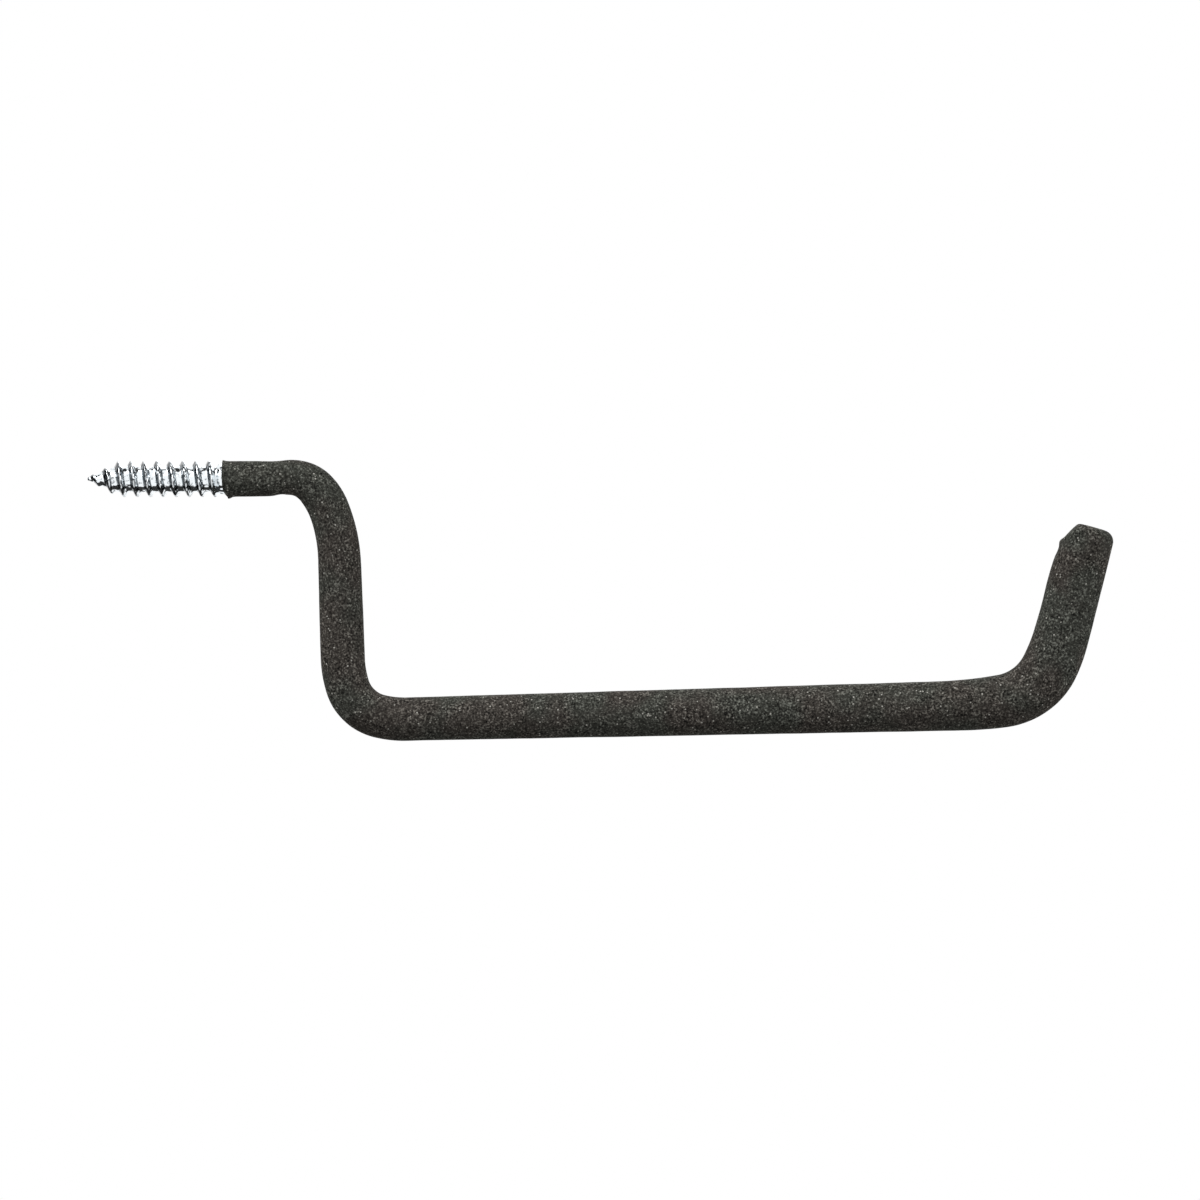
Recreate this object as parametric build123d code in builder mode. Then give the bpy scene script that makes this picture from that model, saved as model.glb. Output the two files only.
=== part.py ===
from build123d import *
import os
from math import atan, atan2, ceil, cos, degrees, hypot, radians, sin, tan

# A ladder hook: a bent steel rod with a lag screw at one end, dipped in vinyl.
# Millimetres. The screw points along -X, the hook reaches along +X and opens towards +Z.
# The origin is on the screw's axis, where the coat's mouth crosses it.

# Lag screw, 5/16 inch by 9 turns to the inch, right-handed
thread_pitch = 25.4 / 9
crest_diameter = 7.94
root_diameter = 5.77
crest_width = 0.3
flank_angle = 30.0
screw_length = 30.0

# How far the screw's last crest, on its upper side, and the thread's end lie from the origin
last_crest = 3.65
thread_gap = 0.9
run_out = 1.2

# Point of the screw, where the thread narrows to diameters of its own
point_length = 6.6
point_crest = 0.66
point_root = 0.5
point_blunt = 0.25
point_lead = 0.35

# Rod, sheared off at the far end
rod_diameter = 6.75
shear_depth = 1.6
shear_length = 2.9

# Straight runs of the centreline, the toe's measured to the end of the coat
shank_run = 8.4
drop_run = 20.8
arm_run = 116.85
toe_run = 25.4

# Slopes of the runs in degrees: off plumb, above level, off plumb
drop_lean = 2.0
arm_rise = 1.4
toe_lean = 15.3

# Waist, where the rod humps up a little before it is bent down
waist_radius = 40.0
waist_turn = 7.0

# Shoulder bend, tight out of the waist and opening out down the drop
shoulder_radius = 7.5
shoulder_middle_radius = 14.5
shoulder_middle_turn = 23.0
shoulder_easing_radius = 38.0
shoulder_easing_turn = 17.0

# Elbow bend between drop and arm, eased alike at both ends
elbow_radius = 9.6
elbow_easing_radius = 24.0
elbow_easing_turn = 14.7

# Toe bend at the far end of the arm
toe_radius = 13.8
toe_entry_radius = 100.0
toe_entry_turn = 7.2
toe_exit_radius = 32.0
toe_exit_turn = 11.7

# Vinyl coat diameters, thinnest at the neck and thickest where the dip drained to
coat_shank = 7.9
coat_neck = 7.4
coat_shoulder = 8.7
coat_drop = 9.5
coat_drop_end = 9.8
coat_arm = 9.55
coat_arm_end = 10.95
coat_toe = 12.5
coat_tip = 11.2

# Lip of the coat's mouth, whose edge follows the last half turn of the thread
lip_proud = 0.25
lip_width = 0.9
lip_sink = 0.15

# Coat over the rod's sheared end
tip_cover = 2.4
tip_bevel_depth = 2.6
tip_bevel_length = 4.6
tip_round = 2.6
tip_edge_round = 0.6

rod_radius = rod_diameter / 2
flank_run = (crest_diameter - root_diameter) / 2 * tan(radians(flank_angle))
root_run = thread_pitch - crest_width - 2 * flank_run
mouth_lean = atan(thread_pitch / 2 / coat_shank)


def between(start, end, share):
    """The value a share of the way from start to end."""
    return start + (end - start) * share


def thread_corner(start, diameter, point_diameter):
    """One turn of a corner of the thread: a helix that widens from the point and runs out at the rod."""
    radii = []
    for x in (start, start + thread_pitch):
        point_share = min((x + screw_length) / point_length, 1)
        rod_share = min(max((x + thread_gap + run_out) / run_out, 0), 1)
        screw_radius = between(point_diameter, diameter, point_share) / 2
        radii.append(between(screw_radius, rod_radius, rod_share))
    widening = radii[1] - radii[0]
    return Helix(
        pitch=hypot(thread_pitch, widening),
        height=thread_pitch,
        radius=radii[0],
        center=(start, 0, 0),
        direction=(1, 0, 0),
        cone_angle=degrees(atan2(widening, thread_pitch)),
    )


def thread_cap(x, radius, outer_turn, step_corners):
    """Closes an end of the thread: a disc, a cone from it to the outer turn, and the thread's cut face."""
    disc = Plane(origin=(x, 0, 0), x_dir=(0, 0, 1), z_dir=(1, 0, 0)) * Circle(radius)
    cone = Face.make_surface_from_curves(disc.edge(), outer_turn.edge())
    step = make_face(Polyline((x, 0, radius), *step_corners, close=True))
    return [disc.face(), cone, step.face()]


def lag_screw():
    """The threaded screw up to the thread gap, sewn from strips between helices turn by turn."""
    start = point_lead - screw_length
    turns = ceil((screw_length - thread_gap) / thread_pitch)
    corners = []
    for turn in range(turns):
        root = start + turn * thread_pitch
        crest = root + root_run + flank_run
        corners.append(thread_corner(root, root_diameter, point_root))
        corners.append(thread_corner(root + root_run, root_diameter, point_root))
        corners.append(thread_corner(crest, crest_diameter, point_crest))
        corners.append(thread_corner(crest + crest_width, crest_diameter, point_crest))
    end = start + turns * thread_pitch
    corners.append(thread_corner(end, root_diameter, point_root))
    strips = [
        Face.make_surface_from_curves(near.edge(), far.edge()) for near, far in zip(corners, corners[1:])
    ]
    front_corners = [corner @ 0 for corner in corners[:5]]
    back_corners = [corner @ 1 for corner in corners[-5:]]
    front = thread_cap(-screw_length, point_blunt / 2, corners[0], front_corners)
    back = thread_cap(end + 2 * thread_pitch, root_diameter / 4, corners[-1], reversed(back_corners))
    screw = Solid(Shell(strips + front + back))
    first_crest = start + root_run + flank_run + crest_width / 2
    screw = screw.rotate(Axis.X, 360 * (first_crest + last_crest) / thread_pitch)
    return split(screw, bisect_by=Plane.YZ.offset(-thread_gap), keep=Keep.BOTTOM)


def run_on(line, length):
    """A straight run that goes on from the end of a line."""
    return Line(line @ 1, line @ 1 + length * (line % 1))


def bend_on(line, radius, turn):
    """An arc that goes on from the end of a line, tangent to it. A positive turn is upwards."""
    return JernArc(start=line @ 1, tangent=line % 1, radius=radius, arc_size=turn)


def centreline(start, toe_length):
    """The rod's centreline from a place on the screw's axis to the toe's end, as named stretches."""
    shoulder_turn = 90 - drop_lean + waist_turn - shoulder_middle_turn - shoulder_easing_turn
    elbow_turn = 90 - drop_lean + arm_rise - 2 * elbow_easing_turn
    toe_turn = 90 - arm_rise - toe_lean - toe_entry_turn - toe_exit_turn
    with BuildLine(Plane.XZ):
        shank = Line((start, 0), (shank_run, 0))
        waist = bend_on(shank, waist_radius, waist_turn)
        shoulder = bend_on(waist, shoulder_radius, -shoulder_turn)
        shoulder_middle = bend_on(shoulder, shoulder_middle_radius, -shoulder_middle_turn)
        shoulder_easing = bend_on(shoulder_middle, shoulder_easing_radius, -shoulder_easing_turn)
        drop = run_on(shoulder_easing, drop_run)
        elbow_entry = bend_on(drop, elbow_easing_radius, elbow_easing_turn)
        elbow = bend_on(elbow_entry, elbow_radius, elbow_turn)
        elbow_exit = bend_on(elbow, elbow_easing_radius, elbow_easing_turn)
        arm = run_on(elbow_exit, arm_run)
        toe_entry = bend_on(arm, toe_entry_radius, toe_entry_turn)
        toe_bend = bend_on(toe_entry, toe_radius, toe_turn)
        toe_exit = bend_on(toe_bend, toe_exit_radius, toe_exit_turn)
        toe = run_on(toe_exit, toe_length)
    return {
        "shank": [shank],
        "waist": [waist],
        "shoulder": [shoulder],
        "easing": [shoulder_middle, shoulder_easing],
        "drop": [drop],
        "elbow": [elbow_entry, elbow, elbow_exit],
        "arm": [arm],
        "toe bend": [toe_entry, toe_bend],
        "toe": [toe_exit, toe],
    }


def square_to(line, place):
    """The plane square to a line at a place from 0 to 1 along it."""
    return Plane(origin=line @ place, x_dir=(0, 1, 0), z_dir=line % place)


def shear_wedge(line, radius, depth, length):
    """The wedge that a slanted shear cut takes off the cradle side of a line's far end."""
    along = line % 1
    inward = Vector(-along.Z, 0, along.X)
    on_end = line @ 1 + (radius - depth) * inward
    on_side = line @ 1 + radius * inward - length * along
    past = (on_end - on_side).normalized() * depth
    clear = radius * inward
    corners = [on_side - past, on_end + past, on_end + past + clear, on_side - past + clear]
    with BuildSketch(Plane.XZ) as wedge:
        with BuildLine():
            Polyline(*[(corner.X, corner.Z) for corner in corners], close=True)
        make_face()
    return wedge.sketch


# Steel rod, a pointed screw at one end, bent, and sheared off at the other
rod_line = centreline(-thread_gap, toe_run - tip_cover)
rod_end = rod_line["toe"][-1]
screw = lag_screw()

with BuildPart() as steel_rod:
    add(screw)
    with BuildSketch(square_to(rod_line["shank"][0], 0)):
        Circle(rod_radius)
    sweep(path=[stretch for group in rod_line.values() for stretch in group])
    rod_shear = shear_wedge(rod_end, rod_radius, shear_depth, shear_length)
    extrude(rod_shear, amount=rod_diameter, both=True, mode=Mode.SUBTRACT)
steel_rod.part.label = "steel_rod"

# Vinyl coat, tapered along each group of stretches, with the rod's own shape as its hollow
coat_line = centreline(-thread_pitch, toe_run)
coat_end = coat_line["toe"][-1]
coat_tapers = {
    "shank": (coat_shank, coat_shank),
    "waist": (coat_shank, coat_neck),
    "shoulder": (coat_neck, coat_shoulder),
    "easing": (coat_shoulder, coat_drop),
    "drop": (coat_drop, coat_drop_end),
    "elbow": (coat_drop_end, coat_arm),
    "arm": (coat_arm, coat_arm_end),
    "toe bend": (coat_arm_end, coat_toe),
    "toe": (coat_toe, coat_tip),
}
mouth = Plane(origin=(0, 0, 0), x_dir=(0, 1, 0), z_dir=(cos(mouth_lean), 0, sin(mouth_lean)))

with BuildPart() as vinyl_coating:
    for name, (near, far) in coat_tapers.items():
        group_length = sum(stretch.length for stretch in coat_line[name])
        done = 0
        for stretch in coat_line[name]:
            for place in (0, 1):
                share = (done + place * stretch.length) / group_length
                with BuildSketch(square_to(stretch, place)):
                    Circle(between(near, far, share) / 2)
            done += stretch.length
            sweep(path=stretch, multisection=True)
    end_face = vinyl_coating.faces().filter_by(GeomType.PLANE).sort_by_distance(coat_end @ 1)[0]
    fillet(end_face.edges(), tip_round)
    tip_bevel = shear_wedge(coat_end, coat_tip / 2, tip_bevel_depth, tip_bevel_length)
    extrude(tip_bevel, amount=coat_tip, both=True, mode=Mode.SUBTRACT)
    bevel_edges = vinyl_coating.edges(Select.LAST)
    fillet(bevel_edges, tip_edge_round)
    split(bisect_by=mouth, keep=Keep.TOP)
    with BuildSketch(mouth):
        Circle(coat_shank / 2 + lip_proud)
    extrude(amount=lip_width, taper=degrees(atan((lip_proud + lip_sink) / lip_width)))
    add(steel_rod.part, mode=Mode.SUBTRACT)
vinyl_coating.part.label = "vinyl_coating"

os.makedirs("parts", exist_ok=True)
for piece in (steel_rod, vinyl_coating):
    export_step(piece.part, f"parts/{piece.part.label}.step")
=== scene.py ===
from math import cos, exp, hypot, pi, radians, sin, sqrt, tan

import bmesh
import bpy
from mathutils import Matrix, Vector, noise


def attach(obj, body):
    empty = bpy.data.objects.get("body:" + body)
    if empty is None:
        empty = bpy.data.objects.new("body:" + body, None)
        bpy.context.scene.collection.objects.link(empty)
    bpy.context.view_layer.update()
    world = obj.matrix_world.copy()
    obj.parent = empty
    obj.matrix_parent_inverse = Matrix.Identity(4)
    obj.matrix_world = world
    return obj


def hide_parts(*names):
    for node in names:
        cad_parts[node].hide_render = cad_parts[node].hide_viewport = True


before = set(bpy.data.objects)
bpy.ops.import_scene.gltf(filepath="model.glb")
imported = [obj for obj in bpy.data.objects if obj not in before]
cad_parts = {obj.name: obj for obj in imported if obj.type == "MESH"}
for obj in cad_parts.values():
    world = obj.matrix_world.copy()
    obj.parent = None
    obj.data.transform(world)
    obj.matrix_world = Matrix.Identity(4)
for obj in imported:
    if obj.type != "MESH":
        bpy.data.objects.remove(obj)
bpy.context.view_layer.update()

# A ladder hook: a zinc-plated lag screw whose rod is bent and dipped in charcoal vinyl.
# Metres. The screw points along -X, the hook reaches along +X and opens towards +Z.

# The photograph, where it shows the frame's origin, and the camera's lens and reach
PHOTO_SIDE = 1200
PIXELS_PER_METRE = 4600
ORIGIN_PIXEL_X = 225.7
ORIGIN_PIXEL_Y = 478.9
LENS = 200.0
SENSOR = 36.0
CAMERA_REACH = 20.0

# Lag thread, right-handed: its radii, and where the last crest on its upper side stands
THREAD_PITCH = 0.0254 / 9
THREAD_MAJOR = 0.00397
THREAD_ROOT = 0.002885
CREST_WIDTH = 0.0003
FLANK_ANGLE = 30.0
LAST_CREST = -0.00365

# How far a flank is eased out past its foot and in over its crest, as shares of its run
FOOT_EASING = 0.25
CREST_EASING = 0.12

# The screw's point, and where its thread runs out into the rod
SCREW_LENGTH = 0.030
SCREW_POINT = (-SCREW_LENGTH, 0.0, 0.0)
POINT_LENGTH = 0.0066
POINT_ROOT = 0.00025
POINT_CREST = 0.00033
RUN_OUT_START = -0.0021
RUN_OUT_END = -0.0009

# Rod
ROD_RADIUS = 0.003375
SHEAR_DEPTH = 0.0016
SHEAR_LENGTH = 0.0029
BAR_LEAD = 0.0004
BAR_EDGE_ROUND = 0.00005

# Straight runs of the centreline and the slopes of three of them
SHANK_RUN = 0.0084
DROP_RUN = 0.0208
ARM_RUN = 0.11685
TOE_RUN = 0.0254
DROP_LEAN = 2.0
ARM_RISE = 1.4
TOE_LEAN = 15.3

# Bends of the centreline: radius, and turn in degrees where it isn't what the slopes leave
WAIST = (0.040, 7.0)
SHOULDER_RADIUS = 0.0075
SHOULDER_MIDDLE = (0.0145, 23.0)
SHOULDER_EASING = (0.038, 17.0)
ELBOW_RADIUS = 0.0096
ELBOW_EASING = (0.024, 14.7)
TOE_ENTRY = (0.100, 7.2)
TOE_RADIUS = 0.0138
TOE_EXIT = (0.032, 11.7)

# Vinyl coat's diameters from its mouth to its tip
COAT_SHANK = 0.0079
COAT_NECK = 0.0074
COAT_SHOULDER = 0.0087
COAT_DROP = 0.0095
COAT_DROP_END = 0.0098
COAT_ARM = 0.00955
COAT_ARM_END = 0.01095
COAT_TOE = 0.0125
COAT_TIP = 0.0112

# How far to each side the coat's tapers are averaged, and in how many steps
TAPER_EASING = 0.003
TAPER_STEPS = 3

# The coat's mouth, whose lip lies over the last half turn of the thread and sweeps back under it
MOUTH_TOP = -0.00075
MOUTH_SWEEP = 0.0013
MOUTH_SHARPNESS = 9.0
MOUTH_FADE = 0.006
LIP_PROUD = 0.00020
LIP_WIDTH = 0.0010
LIP_ROLL = 0.00012

# The coat's tip over the sheared end
TIP_COVER = 0.0024
TIP_ROUND = 0.0026
TIP_BEVEL_DEPTH = 0.0026
TIP_BEVEL_LENGTH = 0.0046
TIP_EDGE_ROUND = 0.0006
TIP_REACH = 0.014

# Blemishes of the dipped coat: place, reach, and depth, negative where the skin stands proud
TIP_NOTCH = ((0.1810, 0.0, -0.0154), 0.0009, 0.00028)
TIP_LIP = ((0.1816, 0.0, -0.0136), 0.0009, -0.00034)
TOE_SWELL = ((0.1795, 0.0, -0.0195), 0.0065, -0.00034)
MOUTH_DRIP = ((0.0008, 0.0, -0.0042), 0.0008, -0.00026)
WAIST_DENT = ((0.0120, 0.0, -0.0037), 0.0012, 0.00030)
SHOULDER_SWELL = ((0.0168, 0.0, -0.0062), 0.0040, -0.00018)
BLEMISHES = (TIP_NOTCH, TIP_LIP, TOE_SWELL, MOUTH_DRIP, WAIST_DENT, SHOULDER_SWELL)

# Unevenness of the dipped coat, all of it inwards
LUMP_DEPTH = 0.00012
LUMP_SIZE = 0.009
RIPPLE_DEPTH = 0.00003
RIPPLE_SIZE = 0.0026
RIPPLE_SHIFT = (7, 3, 5)

# Fineness of the meshes
COAT_SIDES = 72
COAT_STEP = 0.0004
BAR_STEP = 0.0022
CAP_RINGS = 6
ROUND_STEPS = 8
THREAD_SIDES = 96
THREAD_TURNS = 12
PROFILE_STEPS = 36
MERGE_DISTANCE = 1e-7
CUT_DISTANCE = 1e-8

# Vinyl: the sizes and relief of its patterns, and the radii of its specks as shares of their spacing
GRAIN_SIZE = 0.00044
GRAIN_DEPTH = 0.00006
GRAIN_SHARE = 0.8
COARSE_GRAIN_SIZE = 0.0013
COARSE_GRAIN_DEPTH = 0.00005
CONTRAST_SIZE = 0.0035
CONTRAST_LEAST = 0.75
CONTRAST_SPREAD = 0.5
PATCH_SIZE = 0.010
SPECK_SPACING = 0.0010
SPECK_RADII = (0.12, 0.22)
SPECK_CLUSTER_SIZE = 0.0016

# Vinyl: between which levels of a pattern it passes from one look to the next
PIT_EDGE = (0.34, 0.49)
FLECK_EDGE = (0.50, 0.68)
CONTRAST_EDGE = (0.38, 0.62)
PATCH_EDGE = (0.35, 0.65)
SPECK_CLUSTER_EDGE = (0.52, 0.62)

# Vinyl: its colours as read off a screen, from 0 to 255, and its gloss
GROUND_GREY = (62, 63, 58)
GROUND_BROWN = (64, 60, 56)
FLECK_GREY = (134, 136, 128)
FLECK_BROWN = (136, 131, 124)
PIT_COLOUR = (14, 14, 13)
SPECK_COLOUR = (196, 194, 186)
VINYL_ROUGHNESS = 0.82
VINYL_ROUGHNESS_SPREAD = 0.14
VINYL_SPECULAR = 0.06

# Zinc: the sizes of its stains, and the size and depth of its dents
BLOTCH_SIZE = 0.00070
FINE_STAIN_SIZE = 0.00030
DENT_SIZE = 0.0011
DENT_DEPTH = 0.00032

# Zinc: where each dark place begins and is full, and how dark it is; on the crests and leading flanks
# the dark is painted shade, in the blotches and fine stains it is stain
# Painted shade along the thread's crests
PAINTED_CREST_SHADE_RANGE = (0.60, 0.95)
PAINTED_CREST_SHADE_DEPTH = 0.40
# Painted shade on the leading flanks, those that face -X
PAINTED_FLANK_SHADE_RANGE = (0.58, 0.80)
PAINTED_FLANK_SHADE_DEPTH = 0.85
BLOTCH_EDGE = (0.56, 0.64)
BLOTCH_SHADE = 0.55
FINE_STAIN_EDGE = (0.58, 0.70)
FINE_STAIN_SHADE = 0.3

# Zinc: how far from the screw's point its stain stays full, and where it ends
POINT_STAIN_EDGE = (0.0003, 0.0008)

# Zinc: its colours as read off a screen, and its gloss
ZINC_BRIGHT = (232, 237, 240)
ZINC_DARK = (42, 48, 53)
ZINC_ROUGHNESS = 0.07
ZINC_ROUGHNESS_SPREAD = 0.10

# The middle of the hook, which the lamps face
MIDDLE = (0.08, 0, -0.025)

# The floor, well below the hook, and how far from the origin it begins to turn white and is white
FLOOR_LEVEL = -0.20
FLOOR_SIZE = 6.0
FLOOR_NEAR = 0.26
FLOOR_FAR = 0.46
FLOOR_GREY = (0.86, 0.86, 0.86, 1)
FLOOR_ROUGHNESS = 0.9
WHITE = (1, 1, 1, 1)

# Soft lamps: name, place, size and power
LAMPS = (
    ("key", (-0.90, -0.75, 1.30), 1.2, 25),
    ("fill", (1.65, -0.60, 0.45), 0.9, 12),
    ("back", (0.30, 1.45, 0.85), 1.2, 8),
)

# The world's light: weak all round, and for glossy rays two bright walls in a dark room
SKY_LIGHT = 0.28
WALL_LIGHT = 1.1
WALL_DARK = 0.04
FRONT_WALL_EDGE = 0.40
BACK_WALL_EDGE = 0.50
BACK_WALL_OVERHANG = 0.30
WALL_BLUR = 0.08
WALL_END = 0.92


def share_of(value, start, end):
    """How far a value is from start to end, from 0 to 1, eased at both."""
    share = min(max((value - start) / (end - start), 0.0), 1.0)
    return share * share * (3 - 2 * share)


def between(start, end, share):
    """The value a share of the way from start to end."""
    return start + (end - start) * share


class Centreline:
    """The rod's centreline in the mid-plane, as runs and bends that follow on without a kink."""

    def __init__(self, toe_run):
        shoulder_turn = 90 - DROP_LEAN + WAIST[1] - SHOULDER_MIDDLE[1] - SHOULDER_EASING[1]
        elbow_turn = 90 - DROP_LEAN + ARM_RISE - 2 * ELBOW_EASING[1]
        toe_turn = 90 - ARM_RISE - TOE_LEAN - TOE_ENTRY[1] - TOE_EXIT[1]
        self.stretches = []
        self.girths = [(0.0, COAT_SHANK)]
        self.run(SHANK_RUN, COAT_SHANK)
        self.bend(WAIST[0], WAIST[1], COAT_NECK)
        self.bend(SHOULDER_RADIUS, -shoulder_turn, COAT_SHOULDER)
        self.bend(SHOULDER_MIDDLE[0], -SHOULDER_MIDDLE[1])
        self.bend(SHOULDER_EASING[0], -SHOULDER_EASING[1], COAT_DROP)
        self.run(DROP_RUN, COAT_DROP_END)
        self.bend(ELBOW_EASING[0], ELBOW_EASING[1])
        self.bend(ELBOW_RADIUS, elbow_turn)
        self.bend(ELBOW_EASING[0], ELBOW_EASING[1], COAT_ARM)
        self.run(ARM_RUN, COAT_ARM_END)
        self.bend(TOE_ENTRY[0], TOE_ENTRY[1])
        self.bend(TOE_RADIUS, toe_turn, COAT_TOE)
        self.bend(TOE_EXIT[0], TOE_EXIT[1])
        self.run(toe_run, COAT_TIP)

    @property
    def length(self):
        """How long the line is so far."""
        return sum(length for length, curvature in self.stretches)

    def run(self, length, girth=None):
        """Adds a straight run, and the coat's diameter at its end where that is given."""
        self.stretches.append((length, 0.0))
        if girth:
            self.girths.append((self.length, girth))

    def bend(self, radius, turn, girth=None):
        """Adds a bend, upwards where its turn is positive."""
        curvature = 1 / radius if turn > 0 else -1 / radius
        self.stretches.append((radius * radians(abs(turn)), curvature))
        if girth:
            self.girths.append((self.length, girth))

    def frame_at(self, station):
        """The matrix at a distance along the line: X onwards, Y across, Z up out of the line."""
        x, z, heading = 0.0, 0.0, 0.0
        left = station
        for length, curvature in self.stretches:
            part = min(left, length)
            turned = heading + curvature * part
            if curvature:
                x += (sin(turned) - sin(heading)) / curvature
                z += (cos(heading) - cos(turned)) / curvature
            else:
                x += part * cos(heading)
                z += part * sin(heading)
            heading = turned
            left -= part
            if left <= 0:
                break
        return Matrix.Translation((x, 0, z)) @ Matrix.Rotation(-heading, 4, "Y")

    def coat_radius(self, station):
        """The coat's outer radius at a distance along the line."""
        for (near, near_girth), (far, far_girth) in zip(self.girths, self.girths[1:]):
            if station <= far:
                break
        share = min(max((station - near) / (far - near), 0.0), 1.0)
        return between(near_girth, far_girth, share) / 2

    def eased_coat_radius(self, station):
        """The same, averaged over a short length, so that the tapers run into each other."""
        steps = range(-TAPER_STEPS, TAPER_STEPS + 1)
        samples = [self.coat_radius(station + TAPER_EASING * step / TAPER_STEPS) for step in steps]
        return sum(samples) / len(samples)


def parts_of(geometry, kind):
    """The verts, edges or faces among what an operator returns."""
    return [item for item in geometry if isinstance(item, kind)]


def grid_rows(bm, rows, sides):
    """A flat grid to be rolled up: each vert with its row and its share of the way round."""
    made = bmesh.ops.create_grid(bm, x_segments=rows, y_segments=sides, size=1)["verts"]
    return [(vert, round((vert.co.x + 1) / 2 * rows), (vert.co.y + 1) / 2) for vert in made]


def roll(bm, rings, sides):
    """A tube through rings: where each stands, its radius, and its share of the mouth's sweep."""
    made = grid_rows(bm, len(rings) - 1, sides)
    for vert, row, turn in made:
        place, radius, sweep = rings[row]
        across, up = -sin(2 * pi * turn), cos(2 * pi * turn)
        vert.co = place @ Vector((mouth_shift(up) * sweep, radius * across, radius * up))
    bmesh.ops.remove_doubles(bm, verts=[vert for vert, row, turn in made], dist=MERGE_DISTANCE)
    return [(vert, row) for vert, row, turn in made if vert.is_valid]


def mouth_shift(up):
    """How far along the coat's mouth lies, from its top, where up is 1, round to its underside."""
    return MOUTH_TOP + MOUTH_SWEEP * exp(-MOUTH_SHARPNESS * (up + 1) / 2)


def shear_plane(line, radius, depth, length):
    """A point on the slanted cut across the cradle side of a line's end, and its outward normal."""
    end = line.frame_at(line.length)
    on_end = end @ Vector((0, 0, radius - depth))
    on_side = end @ Vector((-length, 0, radius))
    slant = (on_end - on_side).normalized()
    return on_end, Vector((-slant.z, 0, slant.x))


def within(items, place, reach):
    """The verts that lie within reach of a place."""
    return [vert for vert in items if (vert.co - place).length < reach]


def press_to_plane(verts, point, normal, rounding):
    """Presses what lies past a plane back onto it, with its edge rounded."""
    for vert in verts:
        proud = (vert.co - point).dot(normal)
        pressed = (proud - sqrt(proud * proud + rounding * rounding)) / 2
        vert.co += normal * (pressed - proud)


def add_piece(name, bm, node, finish):
    """Makes a finished mesh into a smooth piece that stands for a CAD node."""
    mesh = bpy.data.meshes.new(name)
    bm.to_mesh(mesh)
    bm.free()
    mesh.shade_smooth()
    piece = bpy.data.objects.new(name, mesh)
    bpy.context.scene.collection.objects.link(piece)
    mesh.materials.append(finish)
    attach(piece, "root")
    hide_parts(node)
    return piece


def thread_height(along):
    """The thread's height over its root, from 0 to 1, at a distance from the middle of its crest."""
    flank = (THREAD_MAJOR - THREAD_ROOT) * tan(radians(FLANK_ANGLE))
    foot = -CREST_WIDTH / 2 - flank * (1 + FOOT_EASING)
    top = -CREST_WIDTH / 2 + flank * CREST_EASING
    return share_of(-abs(along), foot, top)


def roll_thread(bm):
    """A tube whose rows follow the thread's helix, so that its seam joins each turn to the next."""
    # A crest stands in the middle of each turn, and one turn more follows the last crest
    start = LAST_CREST - (THREAD_TURNS - 1.5) * THREAD_PITCH
    made = grid_rows(bm, THREAD_TURNS * PROFILE_STEPS, THREAD_SIDES)
    for vert, row, turn in made:
        along = row % PROFILE_STEPS / PROFILE_STEPS - 0.5
        radius = between(THREAD_ROOT, THREAD_MAJOR, thread_height(along * THREAD_PITCH))
        x = start + (row / PROFILE_STEPS + turn) * THREAD_PITCH
        vert.co = (x, -radius * sin(2 * pi * turn), radius * cos(2 * pi * turn))
    bmesh.ops.remove_doubles(bm, verts=[vert for vert, row, turn in made], dist=MERGE_DISTANCE)


def cut_off(bm, x, outwards):
    """Cuts the mesh square to X, and returns the rim that is left."""
    cut = bmesh.ops.bisect_plane(
        bm,
        geom=bm.verts[:] + bm.edges[:] + bm.faces[:],
        dist=CUT_DISTANCE,
        plane_co=(x, 0, 0),
        plane_no=(outwards, 0, 0),
        clear_outer=True,
    )
    return parts_of(cut["geom_cut"], bmesh.types.BMEdge)


def capped(rings):
    """Rings with others drawn in after the last, down to a pole."""
    place, radius, sweep = rings[-1]
    return rings + [(place, radius * (1 - step / CAP_RINGS), sweep) for step in range(1, CAP_RINGS + 1)]


def bar_rings(line, start):
    """The rod's plain rings from a station to its sheared end, as far apart as a bar needs."""
    count = round((line.length - start) / BAR_STEP)
    stations = [between(start, line.length, step / count) for step in range(count + 1)]
    return [(line.frame_at(station), ROD_RADIUS, 0.0) for station in stations]


def steel_rod(finish):
    """The rod: the threaded screw, tapered to its point, bridged to the bent bar behind it."""
    bm = bmesh.new()
    roll_thread(bm)
    tip_rim = cut_off(bm, -SCREW_LENGTH, -1)
    tip_verts = list({vert for edge in tip_rim for vert in edge.verts})
    bmesh.ops.pointmerge(bm, verts=tip_verts, merge_co=SCREW_POINT)
    screw_rim = cut_off(bm, RUN_OUT_END, 1)
    height = bm.verts.layers.float.new("height")
    for vert in bm.verts:
        taper_thread(vert, height)

    line = Centreline(TOE_RUN - TIP_COVER)
    roll(bm, capped(bar_rings(line, RUN_OUT_END + BAR_LEAD)), THREAD_SIDES)
    bar_rim = [edge for edge in bm.edges if edge.is_boundary and edge not in screw_rim]
    bmesh.ops.bridge_loops(bm, edges=screw_rim + bar_rim)
    point, outwards = shear_plane(line, ROD_RADIUS, SHEAR_DEPTH, SHEAR_LENGTH)
    press_to_plane(within(bm.verts, point, TIP_REACH), point, outwards, BAR_EDGE_ROUND)
    bmesh.ops.recalc_face_normals(bm, faces=bm.faces)
    return add_piece("threaded_rod", bm, "steel_rod", finish)


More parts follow.
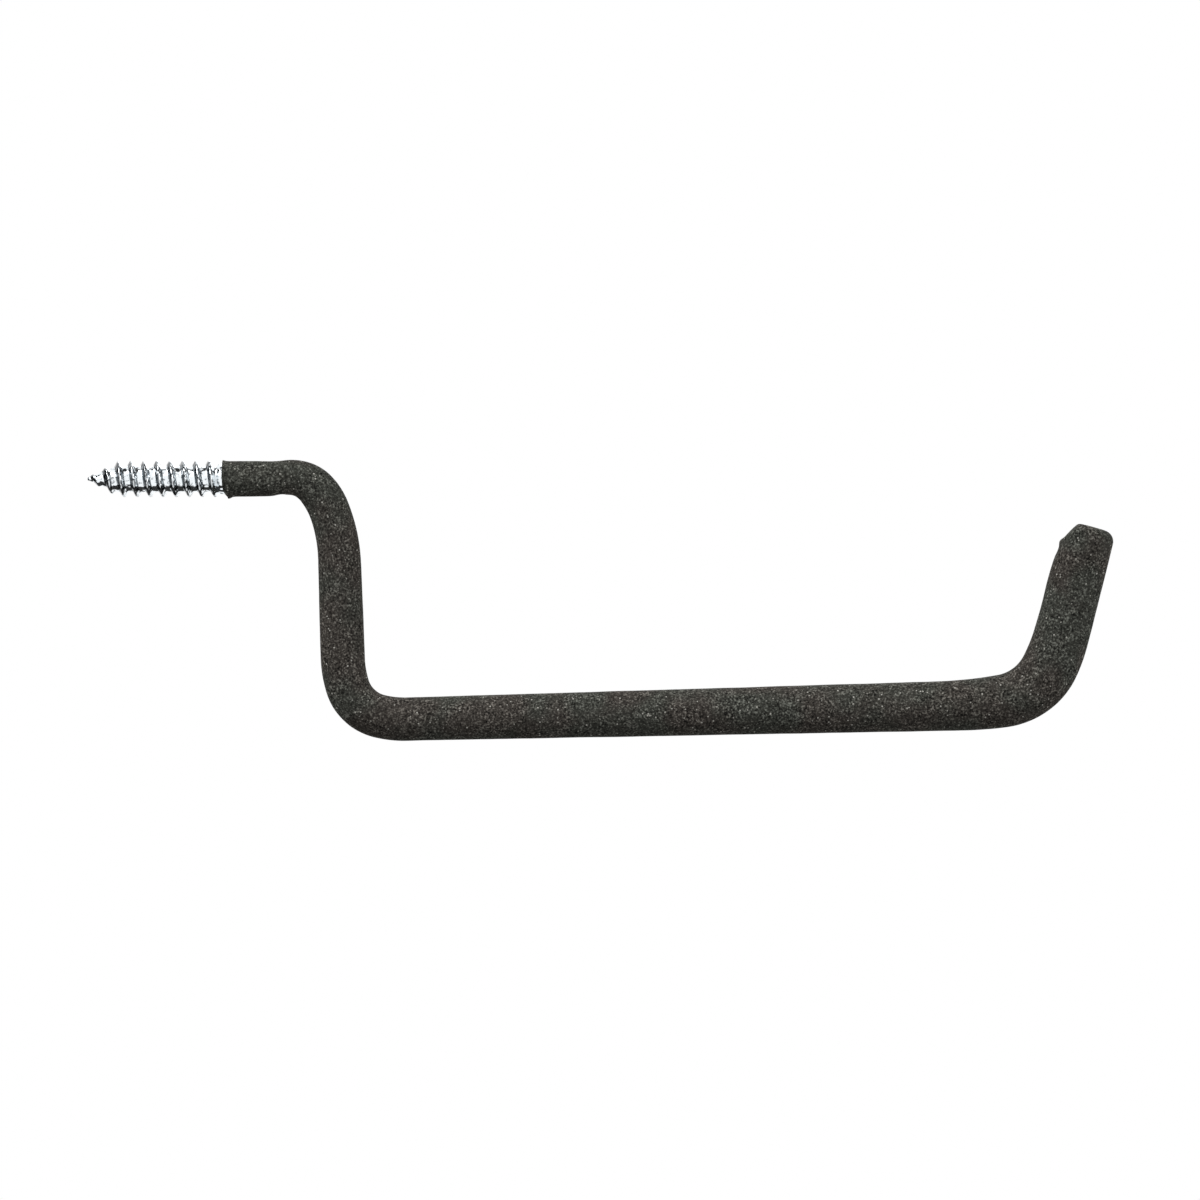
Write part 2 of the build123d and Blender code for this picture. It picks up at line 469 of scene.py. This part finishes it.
def taper_thread(vert, height):
    """Draws a point of the straight thread in towards the point's cones, or out into the rod."""
    radius = hypot(vert.co.y, vert.co.z)
    if radius == 0:
        return
    rise = (radius - THREAD_ROOT) / (THREAD_MAJOR - THREAD_ROOT)
    point = min((vert.co.x + SCREW_LENGTH) / POINT_LENGTH, 1.0)
    root = between(POINT_ROOT, THREAD_ROOT, point)
    crest = between(POINT_CREST, THREAD_MAJOR, point)
    run_out = share_of(vert.co.x, RUN_OUT_START, RUN_OUT_END)
    wanted = between(between(root, crest, rise), ROD_RADIUS, run_out)
    vert.co.y *= wanted / radius
    vert.co.z *= wanted / radius
    vert[height] = rise * (1 - run_out)


def coat_rings(line):
    """The coat's rings from the inner edge of its lip to its tip."""
    lip_middle = (COAT_SHANK / 2 + LIP_PROUD + ROD_RADIUS) / 2
    lip_half = (COAT_SHANK / 2 + LIP_PROUD - ROD_RADIUS) / 2
    stations = []
    for step in range(1, ROUND_STEPS * 2 + 1):
        angle = pi * step / (ROUND_STEPS * 2)
        stations.append((LIP_ROLL * (1 - sin(angle)), lip_middle - lip_half * cos(angle)))
    round_start = line.length - TIP_ROUND
    count = round((round_start - LIP_ROLL) / COAT_STEP)
    for step in range(1, count + 1):
        station = between(LIP_ROLL, round_start, step / count)
        lip = LIP_PROUD * (1 - share_of(station, LIP_ROLL, LIP_WIDTH))
        stations.append((station, line.eased_coat_radius(station) + lip))
    end_radius = stations[-1][1]
    for step in range(1, ROUND_STEPS + 1):
        angle = pi / 2 * step / ROUND_STEPS
        station = round_start + TIP_ROUND * sin(angle)
        stations.append((station, end_radius - TIP_ROUND * (1 - cos(angle))))
    return [(line.frame_at(station), radius, mouth_share(station)) for station, radius in stations]


def mouth_share(station):
    """How much a ring takes of the mouth's sweep, all at the mouth and none further in."""
    return 1 - share_of(station, 0, MOUTH_FADE)


def roughen(verts):
    """Sinks the coat's skin unevenly, as a dipped coat dries, and gives it its blemishes."""
    for vert in verts:
        lump = 0.5 + 0.5 * noise.noise(vert.co / LUMP_SIZE)
        ripple = 0.5 + 0.5 * noise.noise(vert.co / RIPPLE_SIZE + Vector(RIPPLE_SHIFT))
        sink = LUMP_DEPTH * lump + RIPPLE_DEPTH * ripple
        for place, reach, depth in BLEMISHES:
            sink += depth * exp(-(((vert.co - Vector(place)).length / reach) ** 2))
        vert.co -= vert.normal * sink


def vinyl_coating(finish):
    """The coat, rolled in one: up its bore to the mouth, over the lip, and back along its skin."""
    bm = bmesh.new()
    line = Centreline(TOE_RUN)
    bore_line = Centreline(TOE_RUN - TIP_COVER)
    count = round(bore_line.length / BAR_STEP)
    stations = [between(LIP_ROLL, bore_line.length, step / count) for step in range(count + 1)]
    bore = [(bore_line.frame_at(station), ROD_RADIUS, mouth_share(station)) for station in stations]
    inside = capped(bore)[::-1]
    made = roll(bm, inside + capped(coat_rings(line)), COAT_SIDES)
    point, outwards = shear_plane(line, COAT_TIP / 2, TIP_BEVEL_DEPTH, TIP_BEVEL_LENGTH)
    press_to_plane(within(bm.verts, point, TIP_REACH), point, outwards, TIP_EDGE_ROUND)
    bmesh.ops.recalc_face_normals(bm, faces=bm.faces)
    bm.normal_update()
    roughen([vert for vert, row in made if row >= len(inside)])
    return add_piece("dipped_coat", bm, "vinyl_coating", finish)


class Signal:
    """A node's output. Arithmetic on it adds Math nodes to its shading."""

    def __init__(self, shading, output):
        self.shading = shading
        self.output = output

    def math(self, operation, first, second):
        """The result of a Math node on two signals or numbers."""
        return self.shading.node("ShaderNodeMath", {"operation": operation}, {0: first, 1: second})

    def __add__(self, other):
        return self.math("ADD", self, other)

    def __mul__(self, other):
        return self.math("MULTIPLY", self, other)

    def __rsub__(self, other):
        return self.math("SUBTRACT", other, self)

    __radd__ = __add__
    __rmul__ = __mul__

    def step_up(self, low, high):
        """0 below low, 1 above high, eased between them."""
        settings = {"interpolation_type": "SMOOTHSTEP"}
        inputs = {"Value": self, "From Min": low, "From Max": high}
        return self.shading.node("ShaderNodeMapRange", settings, inputs)


class Shading:
    """A procedural material or world, built up by adding nodes."""

    def __init__(self, owner):
        owner.use_nodes = True
        self.owner = owner
        self.tree = owner.node_tree

    def node(self, kind, settings, inputs, output=0):
        """Adds a node: its settings first, then its sockets' values or links."""
        node = self.tree.nodes.new(kind)
        for name, value in settings.items():
            setattr(node, name, value)
        for socket, value in inputs.items():
            self.feed(node.inputs[socket], value)
        return Signal(self, node.outputs[output])

    def feed(self, socket, value):
        """Links a signal to a socket, or sets the socket's own value."""
        if isinstance(value, Signal):
            self.tree.links.new(value.output, socket)
        else:
            socket.default_value = value

    def set(self, node_name, **values):
        """Feeds the sockets of a node that is there already, by their names in lower case."""
        sockets = self.tree.nodes[node_name].inputs
        named = {socket.name.lower().replace(" ", "_"): socket for socket in sockets}
        for name, value in values.items():
            self.feed(named[name], value)

    def mix(self, share, first, second):
        """One colour passing into another."""
        settings = {"data_type": "RGBA"}
        return self.node("ShaderNodeMix", settings, {0: share, 6: first, 7: second}, 2)

    def place(self):
        """Where the surface is, in the frame that the hook is modelled in."""
        return self.node("ShaderNodeTexCoord", {}, {}, "Object")

    def along(self, axis, vector):
        """How much of a vector lies along X, Y or Z."""
        return self.node("ShaderNodeSeparateXYZ", {}, {0: vector}, axis)

    def vector_math(self, operation, *vectors, output=0):
        """The result of a Vector Math node on signals or fixed vectors."""
        inputs = dict(enumerate(vectors))
        return self.node("ShaderNodeVectorMath", {"operation": operation}, inputs, output)

    def ray(self, kind):
        """1 for rays of a kind and 0 for others."""
        return self.node("ShaderNodeLightPath", {}, {}, kind)

    def noise(self, size, detail=2.0, roughness=0.5, shift=0.0):
        """A cloudy pattern whose lumps have a size in metres, shifted so that no two are alike."""
        moved = self.vector_math("ADD", self.place(), (shift, shift, shift))
        inputs = {"Vector": moved, "Scale": 1 / size, "Detail": detail, "Roughness": roughness}
        return self.node("ShaderNodeTexNoise", {}, inputs, "Fac")

    def specks(self, spacing, inner, outer):
        """1 inside scattered round specks, by their radii as shares of their spacing, and 0 between."""
        inputs = {"Vector": self.place(), "Scale": 1 / spacing}
        return 1 - self.node("ShaderNodeTexVoronoi", {}, inputs, "Distance").step_up(inner, outer)

    def bump(self, height, depth, under=None):
        """A relief whose full height has a depth in metres."""
        inputs = {"Height": height, "Distance": depth, "Strength": 1.0}
        if under:
            inputs["Normal"] = under
        return self.node("ShaderNodeBump", {}, inputs)


def linear(level):
    """A screen's level, from 0 to 255, as a share of its light."""
    share = level / 255
    return share / 12.92 if share <= 0.04045 else ((share + 0.055) / 1.055) ** 2.4


def colour(levels):
    """A colour as read off a screen, made linear."""
    red, green, blue = levels
    return (linear(red), linear(green), linear(blue), 1.0)


def vinyl_finish():
    """Charcoal vinyl with a fine pale grain and rare bright specks, slightly browner in patches."""
    shading = Shading(bpy.data.materials.new("charcoal_vinyl"))
    grain = shading.noise(GRAIN_SIZE, roughness=0.7)
    coarse = shading.noise(COARSE_GRAIN_SIZE, roughness=0.6, shift=0.3)
    texture = grain * GRAIN_SHARE + coarse * (1 - GRAIN_SHARE)
    contrast = shading.noise(CONTRAST_SIZE, roughness=0.6, shift=0.5).step_up(*CONTRAST_EDGE)
    lively = CONTRAST_LEAST + CONTRAST_SPREAD * contrast
    patches = shading.noise(PATCH_SIZE, detail=1.0, shift=0.7).step_up(*PATCH_EDGE)
    ground = shading.mix(patches, colour(GROUND_GREY), colour(GROUND_BROWN))
    pale = shading.mix(patches, colour(FLECK_GREY), colour(FLECK_BROWN))
    pits = (1 - texture.step_up(*PIT_EDGE)) * lively
    flecks = texture.step_up(*FLECK_EDGE) * lively
    clusters = shading.noise(SPECK_CLUSTER_SIZE, detail=1.0, shift=0.9).step_up(*SPECK_CLUSTER_EDGE)
    specks = shading.specks(SPECK_SPACING, *SPECK_RADII) * clusters
    skin = shading.mix(pits, ground, colour(PIT_COLOUR))
    skin = shading.mix(flecks, skin, pale)
    skin = shading.mix(specks, skin, colour(SPECK_COLOUR))
    roughness = VINYL_ROUGHNESS + VINYL_ROUGHNESS_SPREAD * coarse
    relief = shading.bump(texture, GRAIN_DEPTH, under=shading.bump(coarse, COARSE_GRAIN_DEPTH))
    shading.set("Principled BSDF", base_color=skin, roughness=roughness, normal=relief)
    shading.set("Principled BSDF", specular_ior_level=VINYL_SPECULAR)
    return shading.owner


def zinc_finish():
    """Bright, faintly blue zinc plate, painted shade on crests and leading flanks, dark at the point and
    in blotches.
    """
    shading = Shading(bpy.data.materials.new("zinc_plate"))
    height = shading.node("ShaderNodeAttribute", {"attribute_name": "height"}, {}, "Fac")
    normal = shading.node("ShaderNodeTexCoord", {}, {}, "Normal")
    forwards = -1.0 * shading.along("X", normal)
    # Painted shade along the top of each crest, by the thread's height
    painted_crest_shade = height.step_up(*PAINTED_CREST_SHADE_RANGE) * PAINTED_CREST_SHADE_DEPTH
    # Painted shade on the flanks that face -X, by the surface's own direction
    painted_flank_shade = forwards.step_up(*PAINTED_FLANK_SHADE_RANGE) * PAINTED_FLANK_SHADE_DEPTH
    blotches = shading.noise(BLOTCH_SIZE, roughness=0.6).step_up(*BLOTCH_EDGE) * BLOTCH_SHADE
    fine = shading.noise(FINE_STAIN_SIZE, roughness=0.6, shift=0.4)
    stains = blotches + fine.step_up(*FINE_STAIN_EDGE) * FINE_STAIN_SHADE
    from_point = shading.vector_math("DISTANCE", shading.place(), SCREW_POINT, output="Value")
    point = 1 - from_point.step_up(*POINT_STAIN_EDGE)
    # The painted shade of crests and flanks, added to the real stains and the dark point
    stains_and_painted_shade = painted_crest_shade + painted_flank_shade + stains + point
    skin = shading.mix(stains_and_painted_shade.step_up(0.0, 1.0), colour(ZINC_BRIGHT), colour(ZINC_DARK))
    dents = shading.noise(DENT_SIZE, detail=0.0, shift=0.2)
    roughness = ZINC_ROUGHNESS + ZINC_ROUGHNESS_SPREAD * fine
    shading.set("Principled BSDF", base_color=skin, metallic=1.0, roughness=roughness)
    shading.set("Principled BSDF", normal=shading.bump(dents, DENT_DEPTH))
    return shading.owner


def floor_finish():
    """A pale floor that is lit and shaded near the hook, and plain white to the camera further off."""
    shading = Shading(bpy.data.materials.new("pale_floor"))
    reach = shading.vector_math("LENGTH", shading.place(), output="Value")
    far = reach.step_up(FLOOR_NEAR, FLOOR_FAR) * shading.ray("Is Camera Ray")
    shading.set("Principled BSDF", base_color=FLOOR_GREY, roughness=FLOOR_ROUGHNESS)
    shading.set("Principled BSDF", specular_ior_level=0.0)
    near = Signal(shading, shading.tree.nodes["Principled BSDF"].outputs[0])
    white = shading.node("ShaderNodeEmission", {}, {"Color": WHITE, "Strength": 1.0})
    surface = shading.node("ShaderNodeMixShader", {}, {0: far, 1: near, 2: white})
    shading.set("Material Output", surface=surface)
    return shading.owner


def floor():
    """The floor, a square sheet centred under the hook."""
    bm = bmesh.new()
    bmesh.ops.create_grid(bm, x_segments=1, y_segments=1, size=FLOOR_SIZE / 2)
    bmesh.ops.translate(bm, verts=bm.verts, vec=(MIDDLE[0], 0, FLOOR_LEVEL))
    mesh = bpy.data.meshes.new("floor")
    bm.to_mesh(mesh)
    bm.free()
    mesh.materials.append(floor_finish())
    piece = bpy.data.objects.new("floor", mesh)
    # It isn't mirrored in the hook, and throws no light on it
    piece.visible_glossy = False
    piece.visible_diffuse = False
    bpy.context.scene.collection.objects.link(piece)


def aimed(place, target):
    """A matrix at a place that looks at a target."""
    direction = Vector(target) - Vector(place)
    return Matrix.Translation(place) @ direction.to_track_quat("-Z", "Y").to_matrix().to_4x4()


def lamp(name, place, size, power):
    """A soft square lamp that faces the middle of the hook."""
    light = bpy.data.lights.new(name, "AREA")
    light.size = size
    light.energy = power
    holder = bpy.data.objects.new(name, light)
    holder.matrix_world = aimed(place, MIDDLE)
    bpy.context.scene.collection.objects.link(holder)


def camera():
    """The camera, level and square to the hook, framed as the photograph is."""
    width = PHOTO_SIDE / PIXELS_PER_METRE
    middle_x = (PHOTO_SIDE / 2 - ORIGIN_PIXEL_X) / PIXELS_PER_METRE
    middle_z = (ORIGIN_PIXEL_Y - PHOTO_SIDE / 2) / PIXELS_PER_METRE
    data = bpy.data.cameras.new("camera")
    data.lens = LENS
    data.sensor_width = SENSOR
    data.clip_end = CAMERA_REACH
    holder = bpy.data.objects.new("camera", data)
    holder.matrix_world = aimed((middle_x, -width * LENS / SENSOR, middle_z), (middle_x, 0, middle_z))
    bpy.context.scene.collection.objects.link(holder)
    bpy.context.scene.camera = holder


def sky():
    """White to the camera, a weak even light, and in reflections two bright walls in a dark room."""
    world = bpy.data.worlds.new("studio")
    bpy.context.scene.world = world
    # It isn't sampled as a lamp, so each ray takes only what it meets
    world.cycles.sampling_method = "NONE"
    shading = Shading(world)
    seen = shading.ray("Is Camera Ray")
    mirrored = shading.ray("Is Glossy Ray")
    direction = shading.node("ShaderNodeTexCoord", {}, {}, "Generated")
    along = shading.along("X", direction)
    away = shading.along("Y", direction)
    up = shading.along("Z", direction)
    front = (-1.0 * away).step_up(FRONT_WALL_EDGE - WALL_BLUR, FRONT_WALL_EDGE)
    back = (away + BACK_WALL_OVERHANG * up).step_up(BACK_WALL_EDGE - WALL_BLUR, BACK_WALL_EDGE)
    walls = (front + back) * along.step_up(-WALL_END, WALL_BLUR - WALL_END)
    level = mirrored * (WALL_LIGHT * walls + WALL_DARK) + (1 - mirrored) * SKY_LIGHT
    shading.set("Background", color=WHITE, strength=seen + (1 - seen) * level)


bpy.context.scene.view_settings.view_transform = "Standard"
camera()
steel_rod(zinc_finish())
vinyl_coating(vinyl_finish())
floor()
sky()
for lamp_facts in LAMPS:
    lamp(*lamp_facts)
